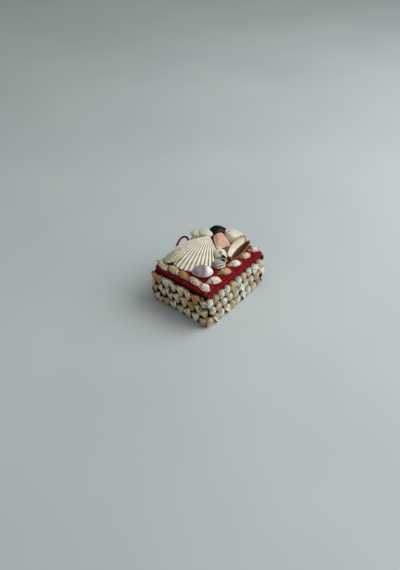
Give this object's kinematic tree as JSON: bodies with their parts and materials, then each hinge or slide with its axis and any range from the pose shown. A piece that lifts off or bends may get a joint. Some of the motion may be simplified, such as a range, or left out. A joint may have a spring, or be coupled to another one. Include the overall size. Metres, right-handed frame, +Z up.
{
  "type": "shell box",
  "caption": "Small souvenir trinket box covered in sea shells, with a hinged lid padded in red velvet.",
  "frame": {"origin": "centre of the underside, on the surface the box stands on", "axes": "+X along the long side, +Y towards the side with the pull loop, +Z up"},
  "size_m": [0.0843, 0.0644, 0.0502],
  "materials": {
    "card": "matt brown card",
    "red_velvet": "short pile velvet, deep red",
    "dark_velvet": "thin velvet and felt, dark red",
    "red_cord": "soft red cord",
    "wall_shell": "small mottled sea shells, cream to brown",
    "rim_shell": "ribbed cream sea shells with tan bands",
    "scallop": "ribbed cream shell",
    "white_clam": "smooth off-white shell",
    "pale_clam": "grey-cream shell with fine growth lines",
    "mussel": "glossy blue-black shell",
    "salmon": "salmon-coloured shell",
    "horn": "brown shell, white inside",
    "snail": "grey mottled snail shell",
    "cowrie": "glossy lilac shell with a white end"
  },
  "bodies": {
    "box": {"card_tray": "card", "wall_velvet": "dark_velvet", "base_cloth": "dark_velvet", "lining": "red_velvet", "hinge_cloth": "red_velvet", "top_shells_left": "wall_shell", "top_shells_right": "wall_shell", "top_shells_back": "wall_shell", "top_shells_front": "wall_shell", "middle_shells_left": "wall_shell", "middle_shells_right": "wall_shell", "middle_shells_back": "wall_shell", "middle_shells_front": "wall_shell", "bottom_shells_left": "wall_shell", "bottom_shells_right": "wall_shell", "bottom_shells_back": "wall_shell", "bottom_shells_front": "wall_shell"},
    "lid": {"lid_lining": "red_velvet", "lid_board": "card", "lid_velvet": "red_velvet", "pull_loop": "red_cord", "rim_shell_back_1": "rim_shell", "rim_shell_back_2": "rim_shell", "rim_shell_back_3": "rim_shell", "rim_shell_back_4": "rim_shell", "rim_shell_back_5": "rim_shell", "rim_shell_left_1": "rim_shell", "rim_shell_left_2": "rim_shell", "rim_shell_left_3": "rim_shell", "rim_shell_left_4": "rim_shell", "rim_shell_front_1": "rim_shell", "rim_shell_front_2": "rim_shell", "rim_shell_front_3": "rim_shell", "rim_shell_front_4": "rim_shell", "rim_shell_front_5": "rim_shell", "rim_shell_right_1": "rim_shell", "rim_shell_right_2": "rim_shell", "rim_shell_right_3": "rim_shell", "rim_shell_right_4": "rim_shell", "rim_shell_corner": "rim_shell", "round_snail": "snail", "grey_whelk": "snail", "scallop": "scallop", "white_clam_far": "white_clam", "white_clam_near": "white_clam", "large_clam": "white_clam", "mussel_valve": "mussel", "salmon_valve": "salmon", "tan_wedge": "horn", "gaping_valve_far": "horn", "gaping_valve_near": "horn", "speckled_snail": "snail", "cowrie": "cowrie", "pale_clam": "pale_clam"}
  },
  "joints": [
    {"name": "lid_hinge", "type": "hinge", "parent": "box", "child": "lid", "pos_m": [0, -0.02865, 0.03165], "axis": [1, 0, 0], "range_deg": [0, 100], "deforming": ["hinge_cloth"]}
  ]
}
